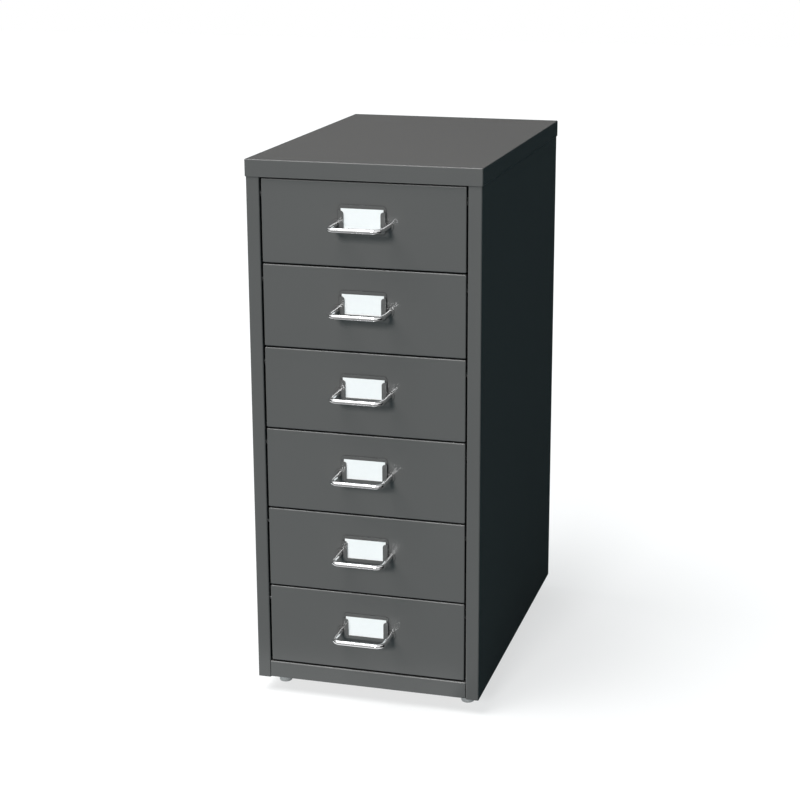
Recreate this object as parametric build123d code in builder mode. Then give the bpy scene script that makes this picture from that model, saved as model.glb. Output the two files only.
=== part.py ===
"""Small sheet steel drawer cabinet on four plain feet, with drawers on folded runners.

Millimetres, +Z up, front towards -Y. The origin is on the floor, at the middle of the
overall width and of the overall depth from the handles to the screw heads at the back.
"""

import os

from build123d import *

os.makedirs("parts", exist_ok=True)

# ---- driving dimensions ----------------------------------------------------------------

# overall
cap_width = 280.0
cap_depth = 430.0
body_height = 639.0  # lower edge of the body to the top of the cap
foot_height = 19.5  # floor to the lower edge of the body

# folded sheet
sheet = 0.7
bend_radius = 1.2  # to the middle of the sheet
front_edge_radius = 1.3  # outside of the rounded rim of each drawer front
corner_radius = 1.5

# carcass
cap_lip = 20.0
cap_clearance = 0.3
post_width = 16.0
post_return = 14.0
rail_height = 21.5
rail_return = 10.0
seam = 0.3  # open seam between the bottom panel and the posts
top_flange = 12.0
bottom_flange = 10.0
panel_upstand = 14.0
back_margin = 0.5

# drawers
drawer_count = 6
front_gap = 1.7
side_gap = 1.9
front_inset = 1.0  # the drawer fronts lie this far behind the posts
front_return = 12.0
tray_clearance = 11.0  # tray wall to the edge of the opening, room for the runner
tray_height = 72.0
tray_lift = 6.0  # tray floor above the lower edge of its front
rear_space = 14.0
flange_width = 8.9
flange_setback = 1.0
travel = 320.0

# runners
runner_gap = 2.0  # behind the front returns
runner_height = 7.0  # clear height between the two legs
lower_leg = 10.0
upper_leg = 8.5
tongue_overlap = 10.0
tongue_height = 8.0
pad_height = 2.0
pad_length = 20.0
pad_hook = 1.2
pad_margin = 1.2
ride_clearance = 0.2
stop_depth = 3.0
stop_width = 4.0
stop_window = 3.2
stop_clearance = 0.5
glide_length = 20.0
glide_top = 3.3
glide_wall = 0.9
glide_play = 0.2
fit = 0.05
overlap = 1.0  # how far joined shapes of one piece reach into each other

# wire handle and label holder
wire_diameter = 5.5
handle_spacing = 61.5  # between the middles of the two legs
handle_reach = 40.0  # drawer front to the outside of the grip
handle_bend = 9.0
card_width = 50.4
card_thickness = 0.5
card_top_drop = 30.0  # upper edge of the drawer front to the upper edge of the card
card_window_height = 23.6
holder_width = 55.6
holder_top_band = 4.0
holder_corner = 4.0
holder_bottom_lip = 4.0
holder_side_lip = 5.8
holder_rail_drop = 2.7
holder_rail_radius = 3.2
holder_channel = 1.4
card_play = 0.3
ear_radius = 5.5

# screws, rivets, feet
screw_head_diameter = 7.0
screw_head_height = 2.0
screw_head_rounding = 1.2
screw_shank_diameter = 3.2
screw_length = 8.0
recess_length = 3.6
recess_width = 0.8
recess_depth = 1.1
hole_clearance = 0.05  # on the radius
back_screw_rows = 4
back_screw_margin = 60.0
bottom_screw_rows = 3
bottom_screw_margin = 70.0
handle_screw_head = 6.0
handle_screw_shank = 3.0
handle_screw_bite = 8.0
handle_bore_spare = 1.0
handle_hole_play = 0.2  # on the radius, in the three sheets that the screws pass
rivet_head_diameter = 6.0
rivet_head_height = 1.0
rivet_shank_diameter = 3.2
rivet_tail_diameter = 4.6
rivet_tail_height = 0.9
foot_inset_side = 22.0
foot_inset_depth = 38.0
foot_diameter = 16.0
foot_neck_diameter = 14.0
foot_pad_height = 7.0
foot_rounding = 2.0
foot_socket_depth = 11.0
stud_diameter = 6.0
stud_above_panel = 8.0
nut_width = 10.0
nut_height = 5.0

# ---- places worked out from them -------------------------------------------------------

body_half = cap_width / 2 - sheet - cap_clearance
opening_half = body_half - post_width
body_bottom = foot_height
cap_top = foot_height + body_height
front_y = -(front_inset - handle_reach - cap_clearance - sheet + cap_depth + screw_head_height) / 2
cap_front_y = front_y - cap_clearance - sheet
cap_rear_y = cap_front_y + cap_depth
cap_edge_radius = sheet + cap_clearance  # its inside then clears the top edge of the body
back_y = cap_rear_y - sheet - cap_clearance  # outside of the back panel
flange_rear_y = back_y - sheet  # outside of the rear flanges of the sides

opening_bottom = body_bottom + rail_height
opening_top = cap_top - cap_lip
front_height = (opening_top - opening_bottom - (drawer_count + 1) * front_gap) / drawer_count
front_width = 2 * (opening_half - side_gap)
face_y = front_y + front_inset
inner_face_y = face_y + sheet

tray_half = opening_half - tray_clearance
tray_front_y = inner_face_y
tray_rear_y = flange_rear_y - rear_space
flange_tip = tray_half + flange_width
flange_front_y = face_y + front_return + flange_setback

runner_inner_x = opening_half + sheet  # the tongues lie against the returns of the posts
runner_outer_x = runner_inner_x + sheet
runner_front_y = front_y + post_return + runner_gap
runner_rear_y = flange_rear_y - post_return - runner_gap
rivet_front_y = front_y + post_return - tongue_overlap / 2
rivet_rear_y = flange_rear_y - post_return + tongue_overlap / 2
flange_lift = pad_height + ride_clearance  # lower leg to the underside of the tray flange
glide_front_y = tray_rear_y - glide_length
stop_y = glide_front_y - travel - stop_clearance  # rear face of the stop tab

card_lift = front_height - card_top_drop  # heights above the lower edge of the front
window_lift = card_lift - card_window_height
holder_bottom_lift = window_lift - holder_bottom_lip
holder_top_lift = card_lift + holder_top_band
rail_top_lift = card_lift - holder_rail_drop
handle_lift = front_height / 2
holder_depth = 2 * sheet + holder_channel
holder_face_y = face_y - holder_depth
bar_y = face_y - handle_reach + wire_diameter / 2
leg_x = handle_spacing / 2

post_middle_x = opening_half + post_width / 2
foot_x = body_half - foot_inset_side
foot_front_y = front_y + foot_inset_depth
foot_rear_y = back_y - foot_inset_depth
panel_under = body_bottom + sheet  # underside of the bottom panel, on the side flanges
panel_over = panel_under + sheet
screw_radius = screw_shank_diameter / 2 + hole_clearance
rivet_radius = rivet_shank_diameter / 2 + hole_clearance
handle_hole_radius = handle_screw_shank / 2 + handle_hole_play

back_screw_bottom = body_bottom + back_screw_margin
back_screw_top = cap_top - back_screw_margin
back_screw_step = (back_screw_top - back_screw_bottom) / (back_screw_rows - 1)
back_screw_heights = [back_screw_bottom + row * back_screw_step for row in range(back_screw_rows)]
bottom_screw_x = body_half - sheet - bottom_flange / 2
bottom_screw_step = (back_y - front_y - 2 * bottom_screw_margin) / (bottom_screw_rows - 1)
bottom_screw_ys = [
    front_y + bottom_screw_margin + row * bottom_screw_step for row in range(bottom_screw_rows)
]
cap_screw_height = cap_top - cap_lip / 2

sides = (-1, 1)


def drawer_bottom(number):
    """Height of the lower edge of a drawer front; number 1 is the top drawer."""
    return opening_bottom + front_gap + (drawer_count - number) * (front_height + front_gap)


drawer_bottoms = [drawer_bottom(number) for number in range(1, drawer_count + 1)]


def runner_floor(bottom):
    """Upper face of a runner's lower leg, from the lower edge of its drawer front."""
    return bottom + tray_lift + tray_height - sheet - flange_lift


# ---- small helpers ---------------------------------------------------------------------


def block(xs, ys, zs, mode=Mode.ADD):
    """Box between two values along each axis, given in either order."""
    with Locations((sum(xs) / 2, sum(ys) / 2, sum(zs) / 2)):
        Box(abs(xs[1] - xs[0]), abs(ys[1] - ys[0]), abs(zs[1] - zs[0]), mode=mode)


def facing_front(y, z=0.0):
    """Plane at depth y whose normal points out of the front, with X right and Z up."""
    return Plane(origin=(0, y, z), x_dir=(1, 0, 0), z_dir=(0, -1, 0))


def facing_back(x, y, z):
    """Plane on the back whose normal points out of the back."""
    return Plane(origin=(x, y, z), x_dir=(-1, 0, 0), z_dir=(0, 1, 0))


def facing_side(side, x, y, z):
    """Plane whose normal points towards the middle of the cabinet from one side."""
    return Plane(origin=(side * x, y, z), x_dir=(0, 1, 0), z_dir=(-side, 0, 0))


# ---- carcass ---------------------------------------------------------------------------

# cap: one shallow tray turned over the body, with a lip on all four sides
with BuildPart() as top_cap:
    with BuildSketch(Plane.XY.offset(opening_top)):
        with Locations((0, (cap_front_y + cap_rear_y) / 2)):
            RectangleRounded(cap_width, cap_depth, corner_radius)
    extrude(amount=cap_lip)
    fillet(top_cap.faces().sort_by(Axis.Z)[-1].edges(), cap_edge_radius)
    offset(amount=-sheet, openings=top_cap.faces().sort_by(Axis.Z)[0])
    with Locations(*[facing_back(s * post_middle_x, cap_rear_y, cap_screw_height) for s in sides]):
        Hole(screw_radius, depth=2 * sheet)
top_cap.part.label = "top_cap"
export_step(top_cap.part, "parts/top_cap.step")

# sides: each one sheet, folded into a post at the front and at the back
for side, side_name in zip(sides, ("left", "right")):
    return_x = side * (opening_half + sheet / 2)
    wall_x = side * (body_half - sheet / 2)
    wall_inside_x = side * (body_half - sheet)
    between_posts = (front_y + post_return, flange_rear_y - post_return)
    with BuildPart() as side_panel:
        with BuildSketch(Plane.XY.offset(body_bottom)):
            with BuildLine():
                FilletPolyline(
                    (return_x, front_y + post_return),
                    (return_x, front_y + sheet / 2),
                    (wall_x, front_y + sheet / 2),
                    (wall_x, flange_rear_y - sheet / 2),
                    (return_x, flange_rear_y - sheet / 2),
                    (return_x, flange_rear_y - post_return),
                    radius=bend_radius,
                )
            trace(line_width=sheet)
        extrude(amount=body_height - sheet)
        block(
            (wall_inside_x, wall_inside_x - side * top_flange),
            between_posts,
            (cap_top - 2 * sheet, cap_top - sheet),
        )
        block(
            (wall_inside_x, wall_inside_x - side * bottom_flange),
            between_posts,
            (body_bottom, body_bottom + sheet),
        )
        rivet_planes = [
            facing_side(side, opening_half, y, runner_floor(bottom) + runner_height / 2)
            for bottom in drawer_bottoms
            for y in (rivet_front_y, rivet_rear_y)
        ]
        with Locations(*rivet_planes):
            Hole(rivet_radius, depth=2 * sheet)
        screw_planes = [
            facing_back(side * post_middle_x, flange_rear_y, z)
            for z in (*back_screw_heights, cap_screw_height)
        ]
        with Locations(*screw_planes):
            Hole(screw_radius, depth=2 * sheet)
        with Locations(*[(side * bottom_screw_x, y, body_bottom) for y in bottom_screw_ys]):
            Cylinder(screw_radius, 4 * sheet, mode=Mode.SUBTRACT)
    side_panel.part.label = f"{side_name}_side_panel"
    export_step(side_panel.part, f"parts/{side_name}_side_panel.step")

# back: flat sheet screwed to the rear flanges of the sides, its top behind the cap's lip
with BuildPart() as back_panel:
    block(
        (-body_half + back_margin, body_half - back_margin),
        (flange_rear_y, back_y),
        (body_bottom, cap_top - sheet - back_margin),
    )
    back_screw_planes = [
        facing_back(side * post_middle_x, back_y, z) for side in sides for z in back_screw_heights
    ]
    cap_hole_planes = [facing_back(s * post_middle_x, back_y, cap_screw_height) for s in sides]
    with Locations(*back_screw_planes, *cap_hole_planes):
        Hole(screw_radius, depth=2 * sheet)
back_panel.part.label = "back_panel"
export_step(back_panel.part, "parts/back_panel.step")

# bottom: its front edge is folded up into the rail below the lowest drawer
with BuildPart() as bottom_panel:
    with BuildSketch(Plane.YZ):
        with BuildLine():
            FilletPolyline(
                (flange_rear_y - sheet / 2, panel_over + panel_upstand),
                (flange_rear_y - sheet / 2, panel_under + sheet / 2),
                (front_y + sheet / 2, panel_under + sheet / 2),
                (front_y + sheet / 2, opening_bottom - sheet / 2),
                (front_y + rail_return, opening_bottom - sheet / 2),
                radius=bend_radius,
            )
        trace(line_width=sheet)
    extrude(amount=opening_half - seam, both=True)
    wing_ys = (front_y + post_return + seam, flange_rear_y - post_return - seam)
    wing_tip = body_half - sheet - seam
    for side in sides:
        block((side * (opening_half - overlap), side * wing_tip), wing_ys, (panel_under, panel_over))
        block(
            (side * (wing_tip - sheet), side * wing_tip),
            wing_ys,
            (panel_under, panel_over + panel_upstand),
        )
        with Locations(*[(side * bottom_screw_x, y, panel_under) for y in bottom_screw_ys]):
            Cylinder(screw_radius, 4 * sheet, mode=Mode.SUBTRACT)
    foot_places = [
        (s * foot_x, y, panel_under) for s in sides for y in (foot_front_y, foot_rear_y)
    ]
    with Locations(*foot_places):
        Cylinder(stud_diameter / 2 + hole_clearance, 4 * sheet, mode=Mode.SUBTRACT)
bottom_panel.part.label = "bottom_panel"
export_step(bottom_panel.part, "parts/bottom_panel.step")

# runners: folded channels open towards the drawers, one pair for each drawer
for side, side_name in zip(sides, ("left", "right")):
    web_x = side * (runner_inner_x + sheet / 2)
    with BuildPart() as runners:
        for bottom in drawer_bottoms:
            floor = runner_floor(bottom)
            ceiling = floor + runner_height
            web_middle = floor + runner_height / 2
            with BuildSketch(facing_front(runner_front_y)):
                with BuildLine():
                    FilletPolyline(
                        (side * (runner_outer_x - lower_leg), floor - sheet / 2),
                        (web_x, floor - sheet / 2),
                        (web_x, ceiling + sheet / 2),
                        (side * (runner_outer_x - upper_leg), ceiling + sheet / 2),
                        radius=bend_radius,
                    )
                trace(line_width=sheet)
            extrude(amount=-(runner_rear_y - runner_front_y))
            tongue_xs = (side * runner_inner_x, side * runner_outer_x)
            tongue_zs = (web_middle - tongue_height / 2, web_middle + tongue_height / 2)
            tongue_front_y = front_y + post_return - tongue_overlap
            tongue_rear_y = flange_rear_y - post_return + tongue_overlap
            block(tongue_xs, (tongue_front_y, runner_front_y + overlap), tongue_zs)
            block(tongue_xs, (runner_rear_y - overlap, tongue_rear_y), tongue_zs)
            tab_x = side * (runner_outer_x - upper_leg)
            tab_xs = (tab_x, tab_x + side * stop_width)
            block(tab_xs, (stop_y, stop_y + stop_window), (ceiling, ceiling + sheet), Mode.SUBTRACT)
            block(tab_xs, (stop_y - sheet, stop_y), (ceiling - stop_depth, ceiling + sheet))
            for y in (rivet_front_y, rivet_rear_y):
                with Locations(facing_side(side, runner_inner_x, y, web_middle)):
                    Hole(rivet_radius, depth=2 * sheet)
    runners.part.label = f"{side_name}_runners"
    export_step(runners.part, f"parts/{side_name}_runners.step")

# pads: a plastic block clipped over the front end of each runner's lower leg
pad_inner = runner_outer_x - lower_leg + pad_margin
pad_outer = runner_inner_x - pad_margin
with BuildPart() as runner_pads:
    for bottom in drawer_bottoms:
        floor = runner_floor(bottom)
        for side in sides:
            pad_xs = (side * pad_inner, side * pad_outer)
            block(pad_xs, (runner_front_y, runner_front_y + pad_length), (floor, floor + pad_height))
            block(
                pad_xs,
                (runner_front_y - pad_hook, runner_front_y),
                (floor - 2 * sheet, floor + pad_height),
            )
runner_pads.part.label = "runner_pads"
export_step(runner_pads.part, "parts/runner_pads.step")

# rivets: hold the two ends of each runner to the returns of the posts
with BuildPart() as runner_rivets:
    for side in sides:
        for bottom in drawer_bottoms:
            for y in (rivet_front_y, rivet_rear_y):
                z = runner_floor(bottom) + runner_height / 2
                with BuildSketch(facing_side(side, opening_half, y, z)):
                    Circle(rivet_head_diameter / 2)
                extrude(amount=rivet_head_height)
                with BuildSketch(facing_side(side, opening_half, y, z)):
                    Circle(rivet_shank_diameter / 2)
                extrude(amount=-2 * sheet)
                with BuildSketch(facing_side(side, runner_outer_x, y, z)):
                    Circle(rivet_tail_diameter / 2)
                extrude(amount=-rivet_tail_height)
runner_rivets.part.label = "runner_rivets"
export_step(runner_rivets.part, "parts/runner_rivets.step")

# pan head screw with its head standing on the plane's origin and its shank below it
with BuildPart() as pan_screw:
    Cylinder(
        screw_head_diameter / 2,
        screw_head_height,
        align=(Align.CENTER, Align.CENTER, Align.MIN),
    )
    fillet(pan_screw.faces().sort_by(Axis.Z)[-1].edges(), screw_head_rounding)
    for length, width in ((recess_length, recess_width), (recess_width, recess_length)):
        block(
            (-length / 2, length / 2),
            (-width / 2, width / 2),
            (screw_head_height - recess_depth, screw_head_height),
            Mode.SUBTRACT,
        )
    Cylinder(
        screw_shank_diameter / 2,
        screw_length,
        align=(Align.CENTER, Align.CENTER, Align.MAX),
    )

with BuildPart() as back_screws:
    with Locations(*back_screw_planes):
        add(pan_screw.part)
back_screws.part.label = "back_screws"
export_step(back_screws.part, "parts/back_screws.step")

with BuildPart() as cap_screws:
    with Locations(*[facing_back(s * post_middle_x, cap_rear_y, cap_screw_height) for s in sides]):
        add(pan_screw.part)
cap_screws.part.label = "cap_screws"
export_step(cap_screws.part, "parts/cap_screws.step")

bottom_screw_planes = [
    Plane(origin=(side * bottom_screw_x, y, body_bottom), x_dir=(1, 0, 0), z_dir=(0, 0, -1))
    for side in sides
    for y in bottom_screw_ys
]
with BuildPart() as bottom_screws:
    with Locations(*bottom_screw_planes):
        add(pan_screw.part)
bottom_screws.part.label = "bottom_screws"
export_step(bottom_screws.part, "parts/bottom_screws.step")

# feet: plain plastic, each on a steel stud held by a nut inside the bottom panel
for side, side_name in zip(sides, ("left", "right")):
    for y, end_name in ((foot_front_y, "front"), (foot_rear_y, "rear")):
        pad_radius = foot_diameter / 2
        neck_radius = foot_neck_diameter / 2
        with BuildPart() as foot:
            with BuildSketch(Plane(origin=(side * foot_x, y, 0), x_dir=(1, 0, 0), z_dir=(0, -1, 0))):
                with BuildLine():
                    Polyline(
                        (pad_radius, foot_rounding),
                        (pad_radius, foot_pad_height),
                        (neck_radius, foot_pad_height + pad_radius - neck_radius),
                        (neck_radius, panel_under),
                        (0, panel_under),
                        (0, 0),
                        (pad_radius - foot_rounding, 0),
                    )
                    RadiusArc(
                        (pad_radius - foot_rounding, 0), (pad_radius, foot_rounding), -foot_rounding
                    )
                make_face()
            revolve(axis=Axis((side * foot_x, y, 0), (0, 0, 1)))
            with Locations((side * foot_x, y, panel_under)):
                Cylinder(
                    stud_diameter / 2 + hole_clearance,
                    foot_socket_depth,
                    align=(Align.CENTER, Align.CENTER, Align.MAX),
                    mode=Mode.SUBTRACT,
                )
        foot.part.label = f"{end_name}_{side_name}_foot"
        export_step(foot.part, f"parts/{end_name}_{side_name}_foot.step")

with BuildPart() as foot_studs:
    with BuildSketch(Plane.XY.offset(panel_under - foot_socket_depth)):
        with Locations(*[(x, y) for x, y, z in foot_places]):
            Circle(stud_diameter / 2)
    extrude(amount=foot_socket_depth + sheet + stud_above_panel)
foot_studs.part.label = "foot_studs"
export_step(foot_studs.part, "parts/foot_studs.step")

with BuildPart() as foot_nuts:
    with BuildSketch(Plane.XY.offset(panel_over)):
        with Locations(*[(x, y) for x, y, z in foot_places]):
            RegularPolygon(nut_width / 2, 6, major_radius=False)
            Circle(stud_diameter / 2 + hole_clearance, mode=Mode.SUBTRACT)
    extrude(amount=nut_height)
foot_nuts.part.label = "foot_nuts"
export_step(foot_nuts.part, "parts/foot_nuts.step")

# ---- drawers ---------------------------------------------------------------------------

for number, bottom in enumerate(drawer_bottoms, start=1):
    front_middle = bottom + front_height / 2
    handle_z = bottom + handle_lift
    tray_bottom = bottom + tray_lift
    tray_top = tray_bottom + tray_height
    runner_z = runner_floor(bottom)
    drawer = f"drawer_{number}"

    # front: shallow tray turned on edge, open to the back
    with BuildPart() as front:
        with BuildSketch(facing_front(face_y, front_middle)):
            RectangleRounded(front_width, front_height, corner_radius)
        extrude(amount=-front_return)
        fillet(front.faces().sort_by(Axis.Y)[0].edges(), front_edge_radius)
        offset(amount=-sheet, openings=front.faces().sort_by(Axis.Y)[-1])
        with Locations(*[facing_front(face_y, handle_z) * Pos(s * leg_x, 0, 0) for s in sides]):
            Hole(handle_hole_radius, depth=2 * sheet)
    front.part.label = f"{drawer}_front"
    export_step(front.part, f"parts/{drawer}_front.step")

    # tray: floor, two walls and their outward flanges in one fold, closed at both ends
    wall_x = tray_half - sheet / 2
    with BuildPart() as tray:
        with BuildSketch(facing_front(tray_front_y)):
            with BuildLine():
                FilletPolyline(
                    (-flange_tip, tray_top - sheet / 2),
                    (-wall_x, tray_top - sheet / 2),
                    (-wall_x, tray_bottom + sheet / 2),
                    (wall_x, tray_bottom + sheet / 2),
                    (wall_x, tray_top - sheet / 2),
                    (flange_tip, tray_top - sheet / 2),
                    radius=bend_radius,
                )
            trace(line_width=sheet)
        extrude(amount=-(tray_rear_y - tray_front_y))
        for side in sides:
            block(
                (side * tray_half, side * (flange_tip + overlap)),
                (tray_front_y, flange_front_y),
                (tray_top - sheet, tray_top),
                Mode.SUBTRACT,
            )
        end_xs = (-tray_half + sheet, tray_half - sheet)
        end_zs = (tray_bottom + sheet / 2, tray_top)
        block(end_xs, (tray_front_y, tray_front_y + sheet), end_zs)
        block(end_xs, (tray_rear_y - sheet, tray_rear_y), end_zs)
        with Locations(*[facing_front(tray_front_y, handle_z) * Pos(s * leg_x, 0, 0) for s in sides]):
            Hole(handle_hole_radius, depth=2 * sheet)
    tray.part.label = f"{drawer}_tray"
    export_step(tray.part, f"parts/{drawer}_tray.step")

    # glides: plastic clips on the rear ends of the flanges, which also meet the stop tabs
    flange_under = tray_top - sheet
    glide_tip = flange_tip + glide_wall
    with BuildPart() as glides:
        for side in sides:
            block(
                (side * (tray_half + glide_wall), side * glide_tip),
                (glide_front_y, tray_rear_y),
                (runner_z + glide_play, tray_top + glide_top),
            )
            block(
                (side * tray_half, side * (flange_tip + fit)),
                (glide_front_y, tray_rear_y),
                (flange_under - fit, tray_top + fit),
                Mode.SUBTRACT,
            )
    glides.part.label = f"{drawer}_glides"
    export_step(glides.part, f"parts/{drawer}_glides.step")

    # label holder: plate with two ears under the handle's legs, and a channel for the card
    holder_half = holder_width / 2
    holder_bottom = bottom + holder_bottom_lift
    rail_top = bottom + rail_top_lift
    window_half = holder_half - holder_side_lip
    with BuildPart() as label_holder:
        with BuildSketch(facing_front(face_y)):
            with Locations((0, bottom + (holder_bottom_lift + holder_top_lift) / 2)):
                RectangleRounded(
                    holder_width, holder_top_lift - holder_bottom_lift, holder_corner
                )
            with Locations((0, handle_z)):
                SlotCenterToCenter(handle_spacing, 2 * ear_radius)
        extrude(amount=sheet)
        with BuildSketch(facing_front(face_y - sheet)):
            with BuildLine():
                FilletPolyline(
                    (-holder_half, rail_top),
                    (-holder_half, holder_bottom),
                    (holder_half, holder_bottom),
                    (holder_half, rail_top),
                    radius=holder_corner,
                )
                Line((holder_half, rail_top), (-holder_half, rail_top))
            make_face()
        extrude(amount=holder_depth - sheet)
        block(
            (-holder_half + sheet, holder_half - sheet),
            (face_y - sheet - holder_channel, face_y - sheet),
            (holder_bottom + sheet, rail_top),
            Mode.SUBTRACT,
        )
        with BuildSketch(facing_front(holder_face_y)):
            with BuildLine():
                flare = window_half + holder_rail_radius
                Polyline(
                    (flare, rail_top),
                    (-flare, rail_top),
                )
                RadiusArc(
                    (-flare, rail_top), (-window_half, rail_top - holder_rail_radius), holder_rail_radius
                )
                Polyline(
                    (-window_half, rail_top - holder_rail_radius),
                    (-window_half, bottom + window_lift),
                    (window_half, bottom + window_lift),
                    (window_half, rail_top - holder_rail_radius),
                )
                RadiusArc(
                    (window_half, rail_top - holder_rail_radius), (flare, rail_top), holder_rail_radius
                )
            make_face()
        extrude(amount=-sheet, mode=Mode.SUBTRACT)
        with Locations(*[facing_front(face_y - sheet, handle_z) * Pos(s * leg_x, 0, 0) for s in sides]):
            Hole(handle_hole_radius, depth=2 * sheet)
    label_holder.part.label = f"{drawer}_label_holder"
    export_step(label_holder.part, f"parts/{drawer}_label_holder.step")

    # label card: plain card standing in the channel, lifted out upwards
    with BuildPart() as label_card:
        card_back_y = face_y - sheet - card_play
        block(
            (-card_width / 2, card_width / 2),
            (card_back_y - card_thickness, card_back_y),
            (holder_bottom + sheet + card_play, bottom + card_lift),
        )
    label_card.part.label = f"{drawer}_label_card"
    export_step(label_card.part, f"parts/{drawer}_label_card.step")

    # handle: round wire bent into a bail, its legs square to the front
    leg_end_y = face_y - sheet
    with BuildPart() as handle:
        with BuildLine() as wire_path:
            FilletPolyline(
                (-leg_x, leg_end_y, handle_z),
                (-leg_x, bar_y, handle_z),
                (leg_x, bar_y, handle_z),
                (leg_x, leg_end_y, handle_z),
                radius=handle_bend,
            )
        with BuildSketch(facing_front(leg_end_y, handle_z)):
            with Locations((-leg_x, 0)):
                Circle(wire_diameter / 2)
        sweep()
        with Locations(*[facing_back(s * leg_x, leg_end_y, handle_z) for s in sides]):
            Hole(handle_screw_shank / 2 + hole_clearance, depth=handle_screw_bite + handle_bore_spare)
    handle.part.label = f"{drawer}_handle"
    export_step(handle.part, f"parts/{drawer}_handle.step")

    # handle screws: clamp the holder, the front and the tray's front wall to the legs
    head_y = tray_front_y + sheet
    with BuildPart() as handle_screws:
        with BuildSketch(facing_front(head_y, handle_z)):
            with Locations(*[(s * leg_x, 0) for s in sides]):
                Circle(handle_screw_head / 2)
        extrude(amount=-screw_head_height)
        fillet(handle_screws.faces().group_by(Axis.Y)[-1].edges(), screw_head_rounding)
        with BuildSketch(facing_front(head_y, handle_z)):
            with Locations(*[(s * leg_x, 0) for s in sides]):
                Circle(handle_screw_shank / 2)
        extrude(amount=head_y - leg_end_y + handle_screw_bite)
    handle_screws.part.label = f"{drawer}_handle_screws"
    export_step(handle_screws.part, f"parts/{drawer}_handle_screws.step")
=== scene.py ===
import math

import bpy
from mathutils import Matrix, Vector

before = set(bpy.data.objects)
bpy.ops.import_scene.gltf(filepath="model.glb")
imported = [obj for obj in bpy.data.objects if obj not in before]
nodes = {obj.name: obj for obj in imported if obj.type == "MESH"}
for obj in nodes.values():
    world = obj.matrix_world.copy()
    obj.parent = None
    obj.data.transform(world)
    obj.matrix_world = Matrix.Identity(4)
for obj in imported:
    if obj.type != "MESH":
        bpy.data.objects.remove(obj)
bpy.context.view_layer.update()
print("frame loaded:", len(nodes), "pieces")

drawerNumbers = range(1, 7)


# a socket that takes part in sums: each operation adds a Math node
class Field:
    def __init__(self, finish, socket):
        self.finish = finish
        self.socket = socket

    def sum(self, operation, first, second):
        return self.finish.node("ShaderNodeMath", {"operation": operation}, {0: first, 1: second})

    def __add__(self, other):
        return self.sum("ADD", self, other)

    def __sub__(self, other):
        return self.sum("SUBTRACT", self, other)

    def __rsub__(self, other):
        return self.sum("SUBTRACT", other, self)

    def __mul__(self, other):
        return self.sum("MULTIPLY", self, other)

    __radd__ = __add__
    __rmul__ = __mul__


masks = {"edgeSamples": 4, "edgeNone": 0.995, "edgeFull": 0.80,
         "cornerSamples": 6, "cornerNone": 0.95, "cornerFull": 0.45}


# a material, or the world, with the nodes that feed its shader
class Finish:
    def __init__(self, name, world=None, **fixed):  # fixed: what is the same all over the surface
        self.material = world or bpy.data.materials.new(name)
        self.material.use_nodes = True
        self.tree = self.material.node_tree
        self.shader = self.tree.nodes["Background" if world else "Principled BSDF"]
        self.feed(**fixed)

    def node(self, kind, settings=None, sockets=None, output=0):
        made = self.tree.nodes.new(kind)
        for key, value in (settings or {}).items():
            setattr(made, key, value)
        for key, value in (sockets or {}).items():
            self.join(value, made.inputs[key])
        return Field(self, made.outputs[output])

    def join(self, value, socket):
        if isinstance(value, Field):
            self.tree.links.new(value.socket, socket)
        else:
            socket.default_value = value

    def feed(self, **sockets):
        for key, value in sockets.items():
            self.join(value, self.shader.inputs[key.replace("_", " ")])
        return self.material

    def place(self):
        return self.node("ShaderNodeTexCoord", output="Object")

    def stretched(self, scale):
        return self.node("ShaderNodeMapping", {}, {"Vector": self.place(), "Scale": scale})

    def moved(self, offset):
        return self.node("ShaderNodeMapping", {}, {"Vector": self.place(), "Location": offset})

    def noise(self, scale, detail, roughness, vector=None):
        return self.node("ShaderNodeTexNoise", {"noise_dimensions": "3D"}, {
            "Vector": vector or self.place(), "Scale": scale, "Detail": detail,
            "Roughness": roughness}, "Fac")

    def ramp(self, value, low, high):  # 0 below low, 1 above high
        return self.node("ShaderNodeMapRange", {"clamp": True}, {
            "Value": value, "From Min": low, "From Max": high})

    def mixColours(self, factor, first, second):  # colour sockets of the node go by number
        return self.node("ShaderNodeMix", {"data_type": "RGBA"}, {
            0: factor, 6: first, 7: second}, 2)

    def bump(self, height, distance, strength):
        return self.node("ShaderNodeBump", {}, {
            "Height": height, "Distance": distance, "Strength": strength})

    def edges(self, radius):  # 0 on flats, up to 1 along folds and cut edges
        rounded = self.node("ShaderNodeBevel", {"samples": masks["edgeSamples"]},
                            {"Radius": radius})
        true = self.node("ShaderNodeNewGeometry", output="Normal")
        match = self.node("ShaderNodeVectorMath", {"operation": "DOT_PRODUCT"},
                          {0: rounded, 1: true}, "Value")
        return self.ramp(match, masks["edgeNone"], masks["edgeFull"])

    def corners(self, reach):  # 0 in the open, up to 1 deep in a corner or a gap
        free = self.node("ShaderNodeAmbientOcclusion", {"samples": masks["cornerSamples"]},
                         {"Distance": reach}, "AO")
        return self.ramp(free, masks["cornerNone"], masks["cornerFull"])


def grey(value, warmth=0.0):
    return (value * (1 + warmth), value, value * (1 - warmth), 1)


def dress(material, *names):
    for name in names:
        for slot in nodes[name].material_slots:
            slot.material = material


def ofDrawers(piece):
    return [f"drawer_{n}_{piece}" for n in drawerNumbers]


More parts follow.
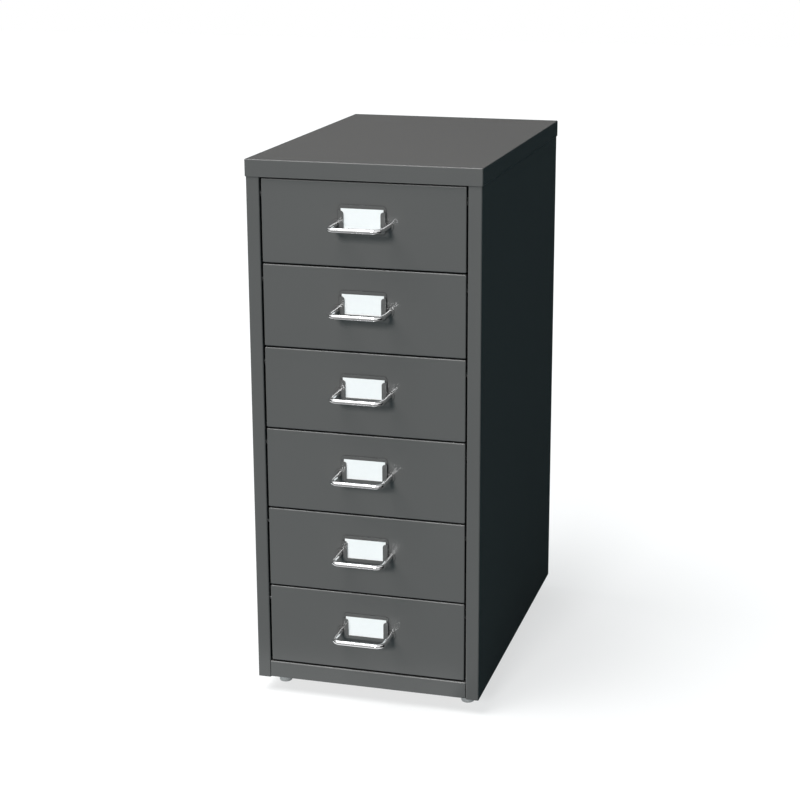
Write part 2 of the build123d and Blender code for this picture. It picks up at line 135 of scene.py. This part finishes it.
# powder coat of the carcass and the drawers; noises are given as scale, detail, roughness
paint = {
    "shade": 0.091, "warmth": 0.028, "mottle": 0.045, "roughness": 0.24, "reflection": 0.4,
    "cloud": (5.0, 4.0, 0.6), "cloudShare": 0.7, "cloudGloss": 0.08,
    "grain": (900.0, 2.0, 0.6), "grainGloss": 0.06, "grainDepth": 0.00002, "grainStrength": 0.5,
    "speck": (2600.0, 1.0, 0.5), "speckShare": 0.3,
    "rub": (70.0, 4.0, 0.65), "rubFrom": 0.35, "rubFull": 0.75, "rubWidth": 0.0011,
    "rubGloss": 0.1, "wear": 0.3, "wornShade": 2.2,
    # painted shade in corners and gaps: its share, its reach in metres and its near-black tone
    "paintedShade": 0.8, "paintedShadeReach": 0.003, "paintedShadeTone": 0.006,
}


def powderCoat(name, offset):  # offset: the carcass and the drawers have their own pattern
    coat = Finish(name, Specular_IOR_Level=paint["reflection"])
    spot = coat.moved(offset)
    cloud = coat.noise(*paint["cloud"], spot)
    grain = coat.noise(*paint["grain"], spot)
    speck = coat.noise(*paint["speck"], spot)
    patchy = coat.ramp(coat.noise(*paint["rub"], spot), paint["rubFrom"], paint["rubFull"])
    rub = coat.edges(paint["rubWidth"]) * patchy
    tone = coat.mixColours(cloud * paint["cloudShare"] + speck * paint["speckShare"],
                           grey(paint["shade"] * (1 - paint["mottle"]), paint["warmth"]),
                           grey(paint["shade"] * (1 + paint["mottle"]), paint["warmth"]))
    worn = coat.mixColours(rub * paint["wear"], tone, grey(paint["shade"] * paint["wornShade"]))
    # painted shade: the paint turns nearly black where the AO node finds corners and gaps,
    # standing in for their shadow
    shadedInCorners = coat.mixColours(coat.corners(paint["paintedShadeReach"]) * paint["paintedShade"], worn,
                            grey(paint["paintedShadeTone"]))
    rough = (paint["roughness"] + (cloud - 0.5) * paint["cloudGloss"]
             + (grain - 0.5) * paint["grainGloss"] + rub * paint["rubGloss"])
    return coat.feed(Base_Color=shadedInCorners, Roughness=rough,
                     Normal=coat.bump(grain, paint["grainDepth"], paint["grainStrength"]))


dress(powderCoat("carcassPaint", (0, 0, 0)), "top_cap", "left_side_panel", "right_side_panel",
      "back_panel", "bottom_panel")
dress(powderCoat("drawerPaint", (3.1, 1.7, 0.4)), *ofDrawers("front"), *ofDrawers("tray"),
      *ofDrawers("label_holder"))
print("paint done")


# zinc plated sheet of the runners, with faint flakes and drawing lines along its length
runnerZinc = {
    "shade": 0.50, "spread": 0.16, "warmth": -0.01, "roughness": 0.34,
    "flakes": 260.0, "flakeShare": 0.6, "flakeGloss": 0.08,
    "lines": (400.0, 3.0, 0.6), "lineStretch": (1, 0.03, 1), "lineShare": 0.4,
    "lineGloss": 0.25, "lineDepth": 0.00002, "lineStrength": 0.4,
    "rubWidth": 0.0009, "wear": 0.5, "wornShade": 1.5,
}


def zincSheet():
    values = runnerZinc
    sheet = Finish("zincSheet", Metallic=1.0)
    flakes = sheet.node("ShaderNodeTexVoronoi", {"feature": "F1"}, {
        "Vector": sheet.place(), "Scale": values["flakes"], "Randomness": 1.0}, "Color")
    patch = sheet.node("ShaderNodeSeparateColor", {}, {"Color": flakes}, "Red")
    drawn = sheet.noise(*values["lines"], sheet.stretched(values["lineStretch"]))
    tone = sheet.mixColours(patch * values["flakeShare"] + drawn * values["lineShare"],
                            grey(values["shade"] * (1 - values["spread"]), values["warmth"]),
                            grey(values["shade"] * (1 + values["spread"]), values["warmth"]))
    bright = sheet.mixColours(sheet.edges(values["rubWidth"]) * values["wear"], tone,
                              grey(values["shade"] * values["wornShade"]))
    rough = (values["roughness"] + (drawn - 0.5) * values["lineGloss"]
             + patch * values["flakeGloss"])
    return sheet.feed(Base_Color=bright, Roughness=rough,
                      Normal=sheet.bump(drawn, values["lineDepth"], values["lineStrength"]))


# bright zinc plate of the screws, rivets, studs and nuts
fastenerZinc = {
    "dark": (0.52, 0.53, 0.55, 1), "light": (0.68, 0.68, 0.67, 1), "edge": grey(0.85),
    "edgeWidth": 0.0004, "roughness": 0.27,
    "haze": (300.0, 3.0, 0.6), "hazeGloss": 0.2,
    "grain": (2500.0, 2.0, 0.5), "grainGloss": 0.15, "grainDepth": 0.00002,
    "grainStrength": 0.5,
}


def zincFastener():
    values = fastenerZinc
    bolt = Finish("zincFastener", Metallic=1.0)
    haze = bolt.noise(*values["haze"])
    grain = bolt.noise(*values["grain"])
    tone = bolt.mixColours(haze, values["dark"], values["light"])
    bright = bolt.mixColours(bolt.edges(values["edgeWidth"]), tone, values["edge"])
    rough = (values["roughness"] + (haze - 0.5) * values["hazeGloss"]
             + (grain - 0.5) * values["grainGloss"])
    return bolt.feed(Base_Color=bright, Roughness=rough,
                     Normal=bolt.bump(grain, values["grainDepth"], values["grainStrength"]))


dress(zincSheet(), "left_runners", "right_runners")
dress(zincFastener(), "runner_rivets", "back_screws", "cap_screws", "bottom_screws", "foot_studs",
      "foot_nuts", *ofDrawers("handle_screws"))
print("zinc done")


# chrome of the wire handles
chrome = {
    "dark": grey(0.76, -0.01), "light": grey(0.832, -0.004), "roughness": 0.07,
    "haze": (120.0, 4.0, 0.6), "hazeFrom": 0.45, "hazeFull": 0.75, "hazeGloss": 0.05,
    "hair": (1800.0, 2.0, 0.6), "hairStretch": (0.08, 1, 1), "hairGloss": 0.03,
    "hairDepth": 0.000004, "hairStrength": 0.3,
}


def chromePlate():
    plate = Finish("chromePlate", Metallic=1.0)
    haze = plate.noise(*chrome["haze"])
    hair = plate.noise(*chrome["hair"], plate.stretched(chrome["hairStretch"]))
    dull = plate.ramp(haze, chrome["hazeFrom"], chrome["hazeFull"])
    return plate.feed(
        Base_Color=plate.mixColours(haze, chrome["dark"], chrome["light"]),
        Roughness=(chrome["roughness"] + dull * chrome["hazeGloss"]
                   + (hair - 0.5) * chrome["hairGloss"]),
        Normal=plate.bump(hair, chrome["hairDepth"], chrome["hairStrength"]))


dress(chromePlate(), *ofDrawers("handle"))
print("chrome done")


# moulded plastic: milky grey feet, off-white pads and glides
footPlastic = {"shade": 0.40, "roughness": 0.45, "warmth": 0.0, "waxy": 0.25}
padPlastic = {"shade": 0.72, "roughness": 0.42, "warmth": 0.03, "waxy": 0.1}
plastics = {
    "reflection": 0.4, "spread": 0.07, "glow": 0.002,
    "cloud": (90.0, 3.0, 0.5),
    "pores": (2200.0, 2.0, 0.6), "poreGloss": 0.2, "poreDepth": 0.00003, "poreStrength": 0.4,
    "scuff": (400.0, 3.0, 0.6), "scuffFrom": 0.4, "scuffFull": 0.7, "scuffWidth": 0.0008,
    "scuffGloss": 0.08, "wear": 0.4, "wornShade": 1.25,
}


def mouldedPlastic(name, own):
    plastic = Finish(name, Specular_IOR_Level=plastics["reflection"],
                     Subsurface_Weight=own["waxy"], Subsurface_Radius=(plastics["glow"],) * 3)
    cloud = plastic.noise(*plastics["cloud"])
    pores = plastic.noise(*plastics["pores"])
    patchy = plastic.ramp(plastic.noise(*plastics["scuff"]), plastics["scuffFrom"],
                          plastics["scuffFull"])
    scuff = plastic.edges(plastics["scuffWidth"]) * patchy
    tone = plastic.mixColours(
        cloud, grey(own["shade"] * (1 - plastics["spread"]), own["warmth"]),
        grey(own["shade"] * (1 + plastics["spread"]), own["warmth"] / 2))
    rubbed = plastic.mixColours(scuff * plastics["wear"], tone,
                                grey(own["shade"] * plastics["wornShade"]))
    rough = (own["roughness"] + (pores - 0.5) * plastics["poreGloss"]
             + scuff * plastics["scuffGloss"])
    return plastic.feed(Base_Color=rubbed, Roughness=rough, Normal=plastic.bump(
        pores, plastics["poreDepth"], plastics["poreStrength"]))


dress(mouldedPlastic("footPlastic", footPlastic), "front_left_foot", "front_right_foot",
      "rear_left_foot", "rear_right_foot")
dress(mouldedPlastic("padPlastic", padPlastic), "runner_pads", *ofDrawers("glides"))


# white card of the labels
label = {
    "dark": (0.80, 0.79, 0.78, 1), "light": (0.87, 0.86, 0.85, 1), "edge": (0.74, 0.73, 0.70, 1),
    "edgeWidth": 0.0004, "edgeShare": 0.35, "roughness": 0.85, "reflection": 0.2,
    "pulp": (220.0, 5.0, 0.65), "pulpShare": 0.6,
    "fibre": (1500.0, 3.0, 0.6), "fibreStretch": (0.25, 1, 1), "fibreShare": 0.4,
    "fibreDepth": 0.00003, "fibreStrength": 0.35,
}


def labelStock():
    card = Finish("labelStock", Roughness=label["roughness"],
                  Specular_IOR_Level=label["reflection"])
    pulp = card.noise(*label["pulp"])
    fibre = card.noise(*label["fibre"], card.stretched(label["fibreStretch"]))
    tone = card.mixColours(pulp * label["pulpShare"] + fibre * label["fibreShare"],
                           label["dark"], label["light"])
    handled = card.mixColours(card.edges(label["edgeWidth"]) * label["edgeShare"], tone,
                              label["edge"])
    return card.feed(Base_Color=handled,
                     Normal=card.bump(fibre, label["fibreDepth"], label["fibreStrength"]))


dress(labelStock(), *ofDrawers("label_card"))
print("plastics and card done")


# floor, lamps and world; floorBounce and sky are the fill light that the object gets from them
studio = {"floorReach": 9.0, "floorShade": 0.30, "floorGlow": 0.66,
          "floorBounce": (0.150, 0.236, 0.262, 1), "sky": (0.092, 0.150, 0.168, 1)}
lamps = {  # where the light comes from, its width in degrees, its strength
    "keyLight": ((-0.09, -0.92, 0.37), 13.0, 0.69),
    "topLight": ((-0.35, -0.25, 0.90), 40.0, 1.08),
    "rearLight": ((-0.60, 0.75, 0.30), 40.0, 0.35),
}
studioCards = {  # seen only in reflections: their corners and brightness
    "rearCard": (((-2.6, 1.7, 0.8), (2.6, 1.7, 0.8), (2.6, 1.7, 2.6), (-2.6, 1.7, 2.6)), 0.11),
    "rearLowCard": (((-2.6, 1.7, 0), (2.6, 1.7, 0), (2.6, 1.7, 0.8), (-2.6, 1.7, 0.8)), 0.01),
    "sideFloorCard": (((0.1, -0.3, 0.001), (2.6, -0.3, 0.001), (2.6, 1.7, 0.001),
                       (0.1, 1.7, 0.001)), 0.01),
    "frontFloorCard": (((-3.0, -8.0, 0.001), (3.0, -8.0, 0.001), (3.0, -0.3, 0.001),
                        (-3.0, -0.3, 0.001)), 0.30),
    "rightCard": (((1.6, -1.6, 0), (1.6, 1.7, 0), (1.6, 1.7, 1.4), (1.6, -1.6, 1.4)), 0.01),
    "leftCard": (((-1.6, -0.9, 0), (-1.6, 1.7, 0), (-1.6, 1.7, 1.0), (-1.6, -0.9, 1.0)), 0.01),
}


def softLight(name, source, width, strength):  # a white wall that faces strength 1 is white
    data = bpy.data.lights.new(name, "SUN")
    data.angle = math.radians(width)
    data.energy = strength * math.pi
    light = bpy.data.objects.new(name, data)
    bpy.context.collection.objects.link(light)
    light.rotation_mode = "QUATERNION"
    light.rotation_quaternion = Vector(source).to_track_quat("Z", "Y")


def panel(name, corners, material):
    mesh = bpy.data.meshes.new(name)
    mesh.from_pydata(corners, [], [tuple(range(len(corners)))])
    mesh.materials.append(material)
    sheet = bpy.data.objects.new(name, mesh)
    bpy.context.collection.objects.link(sheet)
    return sheet


def shownToEye(finish):  # 1 for what the camera sees, straight or in metal or glass
    kinds = ("Is Camera Ray", "Is Glossy Ray", "Is Transmission Ray")
    eye, mirror, glass = (finish.node("ShaderNodeLightPath", output=kind) for kind in kinds)
    return finish.node("ShaderNodeMath", {"operation": "GREATER_THAN"}, {
        0: eye + mirror + glass, 1: 0.5})


def floorFinish():
    floor = Finish("floorWhite", Roughness=0.9, Specular_IOR_Level=0.0, Emission_Strength=1.0)
    shown = shownToEye(floor)
    return floor.feed(
        Base_Color=floor.mixColours(shown, studio["floorBounce"], grey(studio["floorShade"])),
        Emission_Color=floor.mixColours(shown, grey(0.0), grey(studio["floorGlow"])))


def cardFinish(name, brightness):
    return Finish(name, Base_Color=grey(0.0), Specular_IOR_Level=0.0, Emission_Strength=1.0,
                  Emission_Color=grey(brightness)).material


def makeStudio():
    reach = studio["floorReach"]
    panel("floor", [(-reach, -reach, 0), (reach, -reach, 0), (reach, reach, 0),
                    (-reach, reach, 0)], floorFinish())
    for name, (corners, brightness) in studioCards.items():
        card = panel(name, corners, cardFinish(name, brightness))
        card.visible_camera = card.visible_diffuse = card.visible_shadow = False
        card.visible_transmission = False
    for name, (source, width, strength) in lamps.items():
        softLight(name, source, width, strength)
    bpy.context.scene.world = bpy.data.worlds.new("studioWorld")
    sky = Finish("sky", bpy.context.scene.world, Strength=1.0)
    sky.feed(Color=sky.mixColours(shownToEye(sky), studio["sky"], grey(1.0)))


makeStudio()

# the photo's view: angles in degrees, centre and focal length in its pixels, place in metres
cameraFit = {"azimuth": 15.09, "elevation": 15.26, "roll": -0.04, "focalPixels": 1812.0,
             "centre": (424.0, 376.0), "place": (0.5934, -2.1291, 0.9630), "frame": 800,
             "sensor": 36.0}


def makeCamera():
    fit = cameraFit
    data = bpy.data.cameras.new("camera")
    data.sensor_width = fit["sensor"]
    data.lens = fit["focalPixels"] / fit["frame"] * fit["sensor"]
    data.shift_x = (fit["frame"] / 2 - fit["centre"][0]) / fit["frame"]
    data.shift_y = (fit["centre"][1] - fit["frame"] / 2) / fit["frame"]
    data.dof.use_dof = False
    camera = bpy.data.objects.new("camera", data)
    bpy.context.collection.objects.link(camera)
    around, up, roll = (math.radians(fit[key]) for key in ("azimuth", "elevation", "roll"))
    forward = Vector((-math.sin(around) * math.cos(up), math.cos(around) * math.cos(up),
                      -math.sin(up)))
    right = Vector((math.cos(around), math.sin(around), 0))
    above = right.cross(forward)
    turned = right * math.cos(roll) + above * math.sin(roll)
    lifted = above * math.cos(roll) - right * math.sin(roll)
    spin = Matrix((turned, lifted, -forward)).transposed()
    camera.matrix_world = Matrix.Translation(fit["place"]) @ spin.to_4x4()
    bpy.context.scene.camera = camera


makeCamera()
bpy.context.scene.view_settings.view_transform = "Standard"
print("studio done")
